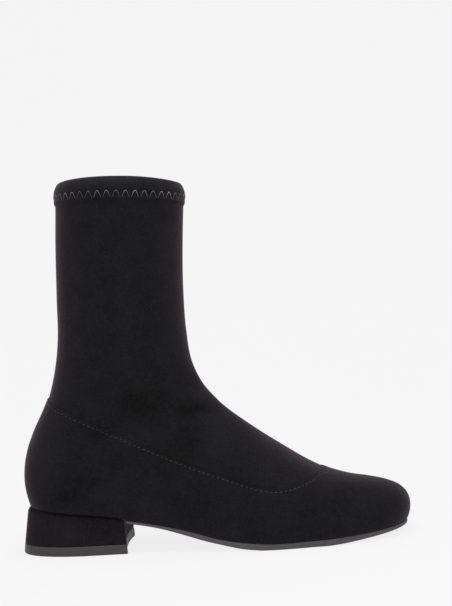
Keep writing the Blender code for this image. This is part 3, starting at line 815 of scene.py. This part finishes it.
def zigzag_piece(shape, thread, shift):
    """The zigzag thread round the hem, as one closed tube of even turns."""
    count = ZIGZAG_COUNT * ZIGZAG_STEPS
    turns = np.append(shape["turn"], FULL_TURN)
    dense = np.linspace(0.0, FULL_TURN, HEM_LINE_POINTS)
    length = lengths_along(points_at(whole_ring(shape, "points", ZIGZAG_LEVEL), turns, dense))
    share = np.arange(count) / count
    turn = np.interp(share * length[-1], length, dense)
    wave = 1.0 - np.abs(2.0 * ((share * ZIGZAG_COUNT) % 1.0) - 1.0)
    reach = (0.5 - 0.5 * np.cos(math.pi * wave)) ** ZIGZAG_BLUNT
    height = ZIGZAG_LOW + (ZIGZAG_HIGH - ZIGZAG_LOW) * reach
    foot = np.interp(turn, turns, whole_ring(shape, "up", 2.0))
    points, normals = skin_at(shape, turn, "up", foot + height, shape["levels"] > 1.9)
    raised = ZIGZAG_RADIUS * ZIGZAG_PROUD - ZIGZAG_SINK * (1.0 - reach) ** 1.5
    radii = ZIGZAG_RADIUS * (0.7 + 0.4 * reach)
    rings = tube(points + normals * raised[:, None], radii, normals, ZIGZAG_SIDES, closed=True)
    faces = ring_faces(count, ZIGZAG_SIDES, closed=True)
    opened = np.array([open_thread(i // ZIGZAG_STEPS) for i in range(count)])
    # Painted shade: the thread is darker towards its lower turns, where it sinks into the nap.
    tone = np.repeat(reach ** 2 * opened ** 1.6 + ZIGZAG_LOW_TONE, ZIGZAG_SIDES)
    return add_mesh("hem_zigzag", rings, faces, [thread], shift, tone)


def round_stations(back, front, count):
    """Stations that crowd towards both ends."""
    turn = np.linspace(0.0, math.pi, count)
    return back + (front - back) * 0.5 * (1.0 - np.cos(turn))


def plan_loop(x, outer, inner):
    """A closed plan outline from stations along it, back to front and round again."""
    middle = spine_y(x)
    out_side = np.stack([x, middle - outer], axis=-1)
    in_side = np.stack([x, middle + inner], axis=-1)
    return np.concatenate([out_side, in_side[-2:0:-1]])


def inset(loop, distance):
    """A plan outline moved inwards."""
    ahead = np.roll(loop, -1, axis=0) - np.roll(loop, 1, axis=0)
    return loop + distance * unit(np.stack([-ahead[:, 1], ahead[:, 0]], axis=-1))


def cross_points(loop, stations, across, height):
    """Points inside a plan loop, on lines between its two sides, at a height of their place."""
    out_side = loop[1:stations - 1, None, :2]
    in_side = loop[:stations - 1:-1, None, :2]
    share = np.linspace(0.0, 1.0, across + 1)[1:-1]
    plan = out_side + (in_side - out_side) * share[None, :, None]
    return np.concatenate([plan, height(plan[..., 0], plan[..., 1])[..., None]], axis=-1)


# Cross sections of the soles' sides: inset, share of the way down, and height added
SOLE_SIDE = table(
    "inset share add",
    (2.6, 0, 0), (1.1, 0, 0), (0.75, 0, -0.12), (0.5, 0, -0.4), (0.36, 0.25, 0),
    (0.3, 0.5, 0), (0.38, 0.75, 0), (0.5, 1, 0.35), (0.75, 1, 0.12), (1.1, 1, 0.02),
    (1.8, 1, 0),
)
INSOLE_SIDE = table(
    "inset share add",
    (4.7, 0, 0), (3.7, 0, -0.15), (3.1, 0, -0.5), (2.8, 0, -1), (2.8, 1, 0), (4.1, 1, 0),
)


def sole_heights(x):
    """Top and lower edge of the outsole's side."""
    top = feather_z(x) - GAP
    low = np.maximum(smooth(SOLE_EDGE["x"], SOLE_EDGE["z"], x), PATCH_DEPTH)
    return top, low


def insole_heights(x):
    """Top and foot of the insole's side."""
    return feather_z(x) + INSOLE_THICKNESS, feather_z(x)


def side_loops(plan, side, heights):
    """Loops of a slab's side, from its plan and the table of its cross section."""
    loops = []
    for row in rows_of(side):
        loop = inset(plan, row["inset"])
        top, low = heights(loop[:, 0])
        loops.append(np.column_stack([loop, top + (low - top) * row["share"] + row["add"]]))
    return loops


def strip_faces(first, second):
    """Quads between two rows of point numbers."""
    return [(first[i], first[i + 1], second[i + 1], second[i]) for i in range(len(first) - 1)]


def slab(loops, stations, across, top_height, low_height):
    """Points and faces of a slab from its side loops, closed above and below by fine strips."""
    count = len(loops[0])
    points = np.concatenate(loops)
    faces = ring_faces(len(loops), count)
    ends = ((0, top_height, True), (len(points) - count, low_height, False))
    for start, height, flip in ends:
        inner = cross_points(points[start:start + count], stations, across, height)
        numbers = len(points) + np.arange(inner[..., 0].size).reshape(inner.shape[:2])
        points = np.concatenate([points, inner.reshape(-1, 3)])
        rows = [[start + i, *numbers[i - 1], start + count - i] for i in range(1, stations - 1)]
        cover = [face for a, b in zip(rows[:-1], rows[1:]) for face in strip_faces(a, b)]
        cover += [(start, a, b) for a, b in zip(rows[0][:-1], rows[0][1:])]
        cover += [(start + stations - 1, b, a) for a, b in zip(rows[-1][:-1], rows[-1][1:])]
        faces += [face[::-1] for face in cover] if flip else cover
    return points, faces


def underside(x, y):
    """Height of the outsole's lower face, with the tread patch that stands proud of it."""
    from_spine = y - spine_y(x)
    half = np.where(from_spine < 0.0, outline_half(x, "outer"), outline_half(x, "inner"))
    inside = ease((half - np.abs(from_spine) - PATCH_INSET) / PATCH_SIDE)
    along = ease((x - PATCH_REAR) / PATCH_END) * ease((PATCH_FRONT - x) / PATCH_END)
    return sole_heights(x)[1] - PATCH_DEPTH * inside * along


def outsole_piece(shift, rubber):
    """Outsole with a rounded side, hollowed behind along the heel's breast."""
    front = FEATHER["x"][-1] - SOLE_TOE_INSET
    x = round_stations(BREAST_X + GAP, front, OUTSOLE_STATIONS)
    from_axis = BREAST_X + BREAST_RADIUS - x
    breast = np.sqrt(np.maximum((BREAST_RADIUS - GAP) ** 2 - from_axis ** 2, 0.0))
    breast = np.where(from_axis < 0.0, np.inf, breast)
    outer = np.minimum(outline_half(x, "outer"), breast)
    inner = np.minimum(outline_half(x, "inner"), breast)
    loops = side_loops(plan_loop(x, outer, inner), SOLE_SIDE, sole_heights)
    points, faces = slab(loops, OUTSOLE_STATIONS, OUTSOLE_ACROSS,
                         lambda x, y: sole_heights(x)[0], underside)
    below_edge = sole_heights(points[:, 0])[1] - points[:, 2]
    tread = np.clip(below_edge / PATCH_DEPTH, 0.0, 1.0)
    return add_mesh("outsole_fine", points, faces, [rubber], shift, tread, sharp=35)


def insole_top(x, y):
    """Height of the insole's top, a little dished under the heel."""
    half = np.maximum(outline_half(x, "outer"), 1.0)
    dish = DISH_DEPTH * (1.0 - np.clip((y - spine_y(x)) / half, -1.0, 1.0) ** 2)
    dish = dish * ease((DISH_FRONT_X - x) / DISH_FRONT_FADE)
    dish = dish * ease((x - DISH_BACK_X) / DISH_BACK_FADE)
    return feather_z(x) + INSOLE_THICKNESS - dish


def insole_piece(shift, lining):
    """Insole with a rolled edge."""
    x = round_stations(FEATHER["x"][0], FEATHER["x"][-1], INSOLE_STATIONS)
    plan = plan_loop(x, outline_half(x, "outer"), outline_half(x, "inner"))
    loops = side_loops(plan, INSOLE_SIDE, insole_heights)
    points, faces = slab(loops, INSOLE_STATIONS, INSOLE_ACROSS, insole_top,
                         lambda x, y: feather_z(x))
    return add_mesh("insole_fine", points, faces, [lining], shift, sharp=35)


def heel_shape(share):
    """Half width and back of the heel, a share of the way down; it flares at its foot."""
    half = HEEL_HALF_TOP + (HEEL_HALF_LOW - HEEL_HALF_TOP) * share ** 2
    return half, HEEL_BACK_TOP + (HEEL_BACK_LOW - HEEL_BACK_TOP) * share


def breast_x(y, z):
    """Front face of the heel: hollow in plan and leaning."""
    centre = BREAST_X + BREAST_RADIUS - (z - BREAST_TOP) * math.tan(BREAST_LEAN)
    return centre - np.sqrt(BREAST_RADIUS ** 2 - y * y)


def heel_plan(share, z, drawn_in, corner):
    """Closed plan of the heel: round behind, straight sides, rounded corners, hollow breast.

    `share` of the way down gives its width and back, and all sides are drawn in by `drawn_in`.
    """
    half, back = heel_shape(share)
    half, back = half - drawn_in, back + drawn_in

    def front(y):
        return np.stack([breast_x(y, z) - drawn_in, y + np.zeros_like(y)], axis=-1)

    tip, hollow_start = front(np.array([half, half - corner]))
    side_end = np.array([tip[0] - corner, half])
    x = back + (side_end[0] - back) * np.linspace(0.0, 1.0, HEEL_SIDE_POINTS) ** HEEL_CROWDING
    behind = np.clip((HEEL_CURVE_X - x) / (HEEL_CURVE_X - back), 0.0, 1.0)
    side = np.column_stack([x, half * round_end(behind, HEEL_CURVE_POWER)])
    t = np.linspace(0.0, 1.0, HEEL_CORNER_POINTS + 2)[1:-1, None]
    bend = (1.0 - t) ** 2 * side_end + 2.0 * t * (1.0 - t) * tip + t ** 2 * hollow_start
    hollow = front(np.linspace(half - corner, 0.0, HEEL_FRONT_POINTS))
    in_side = np.concatenate([side, bend, hollow])
    out_side = in_side * (1.0, -1.0)
    return np.concatenate([out_side, in_side[-2:0:-1]])


def closed_stack(loops):
    """Points and faces of plan loops that follow on downwards, closed above and below."""
    count = len(loops[0])
    points = np.concatenate(loops)
    faces = ring_faces(len(loops), count)
    for start, flip in ((0, False), (len(points) - count, True)):
        centre = points[start:start + count].mean(axis=0)
        cover = [(start + i, start + (i + 1) % count, len(points)) for i in range(count)]
        faces += [face[::-1] for face in cover] if flip else cover
        points = np.concatenate([points, centre[None]])
    return points, faces


# Side of the covered heel: share of the way down, and how far it is drawn in
COVER_TOP = ((0.0, 3.0), (0.0, 1.3), (0.016, 0.72), (0.04, 0.3), (0.07, 0.06))
COVER_SIDE = [(share, 0.0) for share in np.linspace(0.1, 0.94, 18)]
COVER_FOOT = ((0.975, 0.06), (0.992, 0.25), (1.0, 0.6), (1.0, 3.0))
# Side of the heel tip: height, and how far it is drawn in
TIP_SIDE = ((6.0, 2.5), (6.0, 0.25), (5.85, 0.08), (5.6, 0.0), (4.2, 0.0), (3.0, 0.0),
            (1.8, 0.0), (0.5, 0.05), (0.2, 0.2), (0.0, 0.55), (0.0, 2.2), (0.0, 2.6))


def heel_piece(shift, suede):
    """Covered heel block with soft edges above and below."""
    foot = HEEL_TIP_THICKNESS + GAP

    def height(x, share):
        return (feather_z(x) - GAP) * (1.0 - share) + foot * share

    loops = []
    for share, drawn_in in (*COVER_TOP, *COVER_SIDE, *COVER_FOOT):
        middle_z = height(HEEL_MIDDLE, share)
        plan = heel_plan(share * COVER_END, middle_z, drawn_in, COVER_CORNER)
        loops.append(np.column_stack([plan, height(plan[:, 0], share)]))
    points, faces = closed_stack(loops)
    return add_mesh("heel_cover", points, faces, [suede], shift, nap_and_painted_light_tone(points), sharp=40)


def heel_tip_piece(shift, rubber):
    """Rubber top piece with softened edges and a ribbed face under it."""
    loops = []
    for z, drawn_in in TIP_SIDE:
        share = 1.0 - (1.0 - TIP_START) * z / HEEL_TIP_THICKNESS
        plan = heel_plan(share, z, drawn_in, TIP_CORNER)
        loops.append(np.column_stack([plan, np.full(len(plan), z)]))
    points, faces = closed_stack(loops)
    tread = np.zeros(len(points))
    tread[-2 - len(loops[-1]):-2] = 1.0
    tread[-1] = 1.0
    return add_mesh("heel_tip_fine", points, faces, [rubber], shift, tread, sharp=40)


class Shader:
    """Short ways to wire one material's nodes."""

    def __init__(self, name):
        self.material = bpy.data.materials.new(name)
        self.material.use_nodes = True
        self.tree = self.material.node_tree
        self.principled = self.tree.nodes["Principled BSDF"]
        self.place = self.tree.nodes.new("ShaderNodeTexCoord").outputs["Object"]

    def node(self, kind, numbers, **settings):
        """A new node with some settings, and numbers on some of its inputs."""
        made = self.tree.nodes.new(kind)
        for name, value in settings.items():
            setattr(made, name, value)
        for name, number in numbers.items():
            made.inputs[name].default_value = number
        return made

    def link(self, source, target):
        """A wire from an output to an input."""
        self.tree.links.new(source, target)

    def noise(self, scale, detail, rough):
        """A noise of a scale per metre, as its factor output."""
        numbers = {"Scale": scale, "Detail": detail, "Roughness": rough}
        made = self.node("ShaderNodeTexNoise", numbers)
        self.link(self.place, made.inputs["Vector"])
        return made.outputs["Fac"]

    def ribs(self, pitch, distortion, detail):
        """Wavy ribs across x at a pitch in metres, as their height."""
        numbers = {"Scale": WAVE_LENGTH / pitch, "Distortion": distortion, "Detail": detail}
        made = self.node("ShaderNodeTexWave", numbers, wave_type="BANDS", bands_direction="X")
        self.link(self.place, made.inputs["Vector"])
        return made.outputs["Fac"]

    def math(self, operation, first, second):
        """A maths node on two outputs."""
        made = self.node("ShaderNodeMath", {}, operation=operation)
        self.link(first, made.inputs[0])
        self.link(second, made.inputs[1])
        return made.outputs[0]

    def spread(self, value, low, high, to_low, to_high):
        """A value moved from one range to another, held inside it."""
        numbers = {"From Min": low, "From Max": high, "To Min": to_low, "To Max": to_high}
        made = self.node("ShaderNodeMapRange", numbers)
        self.link(value, made.inputs["Value"])
        return made.outputs["Result"]

    def blend(self, share, first, second):
        """Two colours blended by a share."""
        colours = {"A": (*first, 1.0), "B": (*second, 1.0)}
        made = self.node("ShaderNodeMix", colours, data_type="RGBA")
        for socket in made.inputs:
            if socket.name == "Factor" and socket.type == "VALUE":
                self.link(share, socket)
                break
        return [out for out in made.outputs if out.type == "RGBA"][0]

    def tone(self):
        """The tone that the mesh holds at each point."""
        return self.node("ShaderNodeAttribute", {}, attribute_name="tone").outputs["Fac"]

    def bump(self, height, distance, strength, before=None):
        """A bump of a height input, over an earlier one."""
        made = self.node("ShaderNodeBump", {"Strength": strength, "Distance": distance})
        self.link(height, made.inputs["Height"])
        if before is not None:
            self.link(before, made.inputs["Normal"])
        return made.outputs["Normal"]

    def surface(self, share, dark, light, rough, relief):
        """Wire the colour that a share blends, the roughness and the relief."""
        self.link(self.blend(share, dark, light), self.principled.inputs["Base Color"])
        self.link(rough, self.principled.inputs["Roughness"])
        self.link(relief, self.principled.inputs["Normal"])

    def set(self, **values):
        """Constants on the shader's own sockets."""
        for name, value in values.items():
            self.principled.inputs[name.replace("_", " ")].default_value = value


def suede_material(name, dark, light, sheen):
    """Short brushed nap: clouds of lighter and darker fibre, fine grain, soft rims."""
    shader = Shader(name)
    clouds = shader.noise(70.0, 3.0, 0.55)
    mottle = shader.noise(330.0, 3.0, 0.6)
    grain = shader.noise(1150.0, 2.0, 0.6)
    tone = shader.spread(clouds, 0.3, 0.7, 0.0, 0.26)
    tone = shader.math("ADD", tone, shader.spread(mottle, 0.3, 0.7, 0.0, 0.34))
    tone = shader.math("ADD", tone, shader.spread(grain, 0.25, 0.75, 0.0, 0.6))
    # the tone attribute adds the nap patches with painted shade and painted highlights, and the
    # painted shade of the roll
    tone = shader.math("ADD", tone, shader.tone())
    share = shader.spread(tone, 0.0, 1.65, 0.0, 1.0)
    rough = shader.spread(mottle, 0.3, 0.7, 0.86, 0.98)
    nap = shader.bump(grain, 0.00022, 0.7)
    nap = shader.bump(shader.noise(3200.0, 2.0, 0.6), 0.00012, 0.6, nap)
    nap = shader.bump(mottle, 0.0005, 0.35, nap)
    shader.surface(share, dark, light, rough, nap)
    shader.set(Specular_IOR_Level=0.05, Sheen_Weight=sheen, Sheen_Roughness=0.42)
    shader.set(Sheen_Tint=(0.80, 0.62, 0.73, 1.0))
    return shader.material


def rubber_material(name, dark, light, rib_pitch):
    """Moulded rubber: fine grain, rubbed patches, and ribs where the tone attribute says."""
    shader = Shader(name)
    rub = shader.noise(140.0, 4.0, 0.6)
    grain = shader.noise(2600.0, 2.0, 0.5)
    share = shader.spread(rub, 0.32, 0.68, 0.15, 0.85)
    rough = shader.spread(rub, 0.3, 0.7, 0.48, 0.66)
    height = shader.math("MULTIPLY", shader.ribs(rib_pitch, 0.6, 0.0), shader.tone())
    relief = shader.bump(height, 0.0007, 0.9)
    relief = shader.bump(grain, 0.00006, 0.5, relief)
    shader.surface(share, dark, light, rough, relief)
    shader.set(Specular_IOR_Level=0.35)
    return shader.material


def lining_material(name, dark, light):
    """Knitted lining cloth: fine ribs along the wall and a little fuzz."""
    shader = Shader(name)
    cloud = shader.noise(90.0, 3.0, 0.5)
    grain = shader.noise(2200.0, 2.0, 0.5)
    share = shader.math("ADD", shader.spread(cloud, 0.3, 0.7, 0.1, 0.6),
                        shader.spread(grain, 0.3, 0.7, 0.0, 0.4))
    rough = shader.spread(cloud, 0.3, 0.7, 0.8, 0.92)
    relief = shader.bump(shader.ribs(0.0009, 1.2, 2.0), 0.00012, 0.5)
    relief = shader.bump(grain, 0.0001, 0.5, relief)
    shader.surface(share, dark, light, rough, relief)
    shader.set(Specular_IOR_Level=0.2, Sheen_Weight=0.1, Sheen_Roughness=0.5)
    return shader.material


def thread_material(name, dark, light):
    """Twisted sewing thread, lighter where the tone attribute says it lies open; on the zigzag the
    same attribute also holds painted shade on the lower turns.
    """
    shader = Shader(name)
    twist = shader.noise(1800.0, 2.0, 0.6)
    share = shader.math("MULTIPLY", shader.spread(twist, 0.3, 0.7, 0.6, 1.0), shader.tone())
    rough = shader.spread(twist, 0.3, 0.7, 0.5, 0.7)
    shader.surface(share, dark, light, rough, shader.bump(twist, 0.0001, 0.6))
    shader.set(Specular_IOR_Level=0.35, Sheen_Weight=0.1)
    return shader.material


# Camera as the photo's: its place in boot millimetres, its roll and its focal length
CAMERA_PLACE = (136.7, -705.0, 153.4)
CAMERA_ROLL = math.radians(3.2)
CAMERA_FOCUS = 1084.6    # focal length in pixels of the frame
FRAME_HEIGHT = 606.0
SENSOR_HEIGHT = 36.0


def add_camera(shift):
    """Level camera at the boot's outer side, rolled as the photo is."""
    camera = bpy.data.cameras.new("camera")
    camera.sensor_fit = "VERTICAL"
    camera.sensor_height = SENSOR_HEIGHT
    camera.lens = CAMERA_FOCUS * SENSOR_HEIGHT / FRAME_HEIGHT
    holder = add_object("camera", camera)
    right = Vector((math.cos(CAMERA_ROLL), 0.0, -math.sin(CAMERA_ROLL)))
    up = Vector((math.sin(CAMERA_ROLL), 0.0, math.cos(CAMERA_ROLL)))
    turned = Matrix((right, up, Vector((0.0, -1.0, 0.0)))).transposed().to_4x4()
    turned.translation = Vector((np.array(CAMERA_PLACE) - shift) * MM)
    holder.matrix_world = turned
    bpy.context.scene.camera = holder


def add_light(name, place, aim, size, power):
    """A large soft lamp that looks at a point."""
    lamp = bpy.data.lights.new(name, "AREA")
    lamp.shape = "RECTANGLE"
    lamp.size, lamp.size_y = size
    lamp.energy = power
    holder = add_object(name, lamp)
    holder.location = place
    holder.rotation_euler = (Vector(aim) - Vector(place)).to_track_quat("-Z", "Y").to_euler()


def add_lights():
    """Even soft light from all round, a little more from above and in front."""
    world = bpy.data.worlds.new("studio")
    world.use_nodes = True
    background = world.node_tree.nodes["Background"]
    background.inputs["Color"].default_value = (1.0, 1.0, 1.0, 1.0)
    background.inputs["Strength"].default_value = 0.72
    bpy.context.scene.world = world
    add_light("above", (0.1, -0.25, 1.3), (0.0, 0.0, 0.1), (1.2, 1.0), 9.0)
    add_light("front", (-0.3, -1.5, 0.7), (0.0, 0.0, 0.1), (1.0, 1.0), 8.0)


def stage_material():
    """Pale matt floor and backdrop, a little luminous so that they stay even."""
    shader = Shader("pale_stage")
    cloud = shader.noise(3.0, 2.0, 0.5)
    pale = shader.blend(cloud, (0.085, 0.085, 0.085), (0.090, 0.090, 0.090))
    shader.link(pale, shader.principled.inputs["Base Color"])
    shader.set(Roughness=0.95, Specular_IOR_Level=0.0, Emission_Strength=0.825)
    shader.set(Emission_Color=(1.0, 1.0, 1.0, 1.0))
    return shader.material


def add_stage():
    """Floor that sweeps up into a backdrop behind the boot."""
    reach, front, back, radius, top = 3.0, -2.5, 1.6, 0.9, 3.2
    profile = [(front, 0.0), (back - radius, 0.0)]
    for angle in np.linspace(0.0, 0.5 * math.pi, 25)[1:]:
        profile.append((back - radius + radius * math.sin(angle), radius * (1.0 - math.cos(angle))))
    profile.append((back, top))
    points = [(side * reach, y, z) for y, z in profile for side in (-1.0, 1.0)]
    faces = [(2 * i, 2 * i + 1, 2 * i + 3, 2 * i + 2) for i in range(len(profile) - 1)]
    mesh = bpy.data.meshes.new("floor")
    mesh.from_pydata(points, [], faces)
    mesh.materials.append(stage_material())
    mesh.shade_smooth()
    add_object("floor", mesh)


def dress(piece, slot, *nodes):
    """A piece rides on the boot and stands for CAD nodes."""
    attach(piece, "root")
    if nodes:
        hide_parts(*nodes)


def build():
    """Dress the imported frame, and set its floor, light and camera."""
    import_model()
    bpy.context.scene.view_settings.view_transform = "Standard"
    shift = frame_shift()
    suede = suede_material("upper_suede", (0.0029, 0.0029, 0.0032), (0.0176, 0.0169, 0.0185),
                           sheen=0.155)
    heel_suede = suede_material("heel_suede", (0.0030, 0.0028, 0.0032), (0.0189, 0.0169, 0.0191),
                                sheen=0.09)
    # darker copy of the suede without sheen: painted shade for the roll above the heel
    tucked = suede_material("tucked_suede_painted_shade", (0.0030, 0.0028, 0.0031), (0.0150, 0.0142, 0.0153),
                            sheen=0.0)
    lining = lining_material("lining_knit", (0.010, 0.0095, 0.010), (0.022, 0.021, 0.022))
    footbed = lining_material("insole_cloth", (0.012, 0.0115, 0.012), (0.026, 0.025, 0.026))
    rubber = rubber_material("sole_rubber", (0.038, 0.034, 0.037), (0.070, 0.062, 0.068), 0.0032)
    tip = rubber_material("heel_tip_rubber", (0.026, 0.0238, 0.025), (0.037, 0.034, 0.036), 0.0028)
    thread = thread_material("panel_thread", (0.011, 0.011, 0.011), (0.064, 0.061, 0.063))
    hem_thread = thread_material("hem_thread", (0.016, 0.016, 0.017), (0.300, 0.296, 0.300))

    upper, shape = upper_piece(shift, suede, lining, tucked)
    dress(upper, "upper_suede", "upper")
    dress(stitch_piece(shape, thread, shift), "upper_suede")
    dress(zigzag_piece(shape, hem_thread, shift), "upper_suede")
    dress(outsole_piece(shift, rubber), "sole_rubber", "outsole")
    dress(insole_piece(shift, footbed), "insole_lining", "insole")
    dress(heel_piece(shift, heel_suede), "heel_suede", "heel")
    dress(heel_tip_piece(shift, tip), "heel_tip_rubber", "heel_tip")

    add_stage()
    add_lights()
    add_camera(shift)


build()
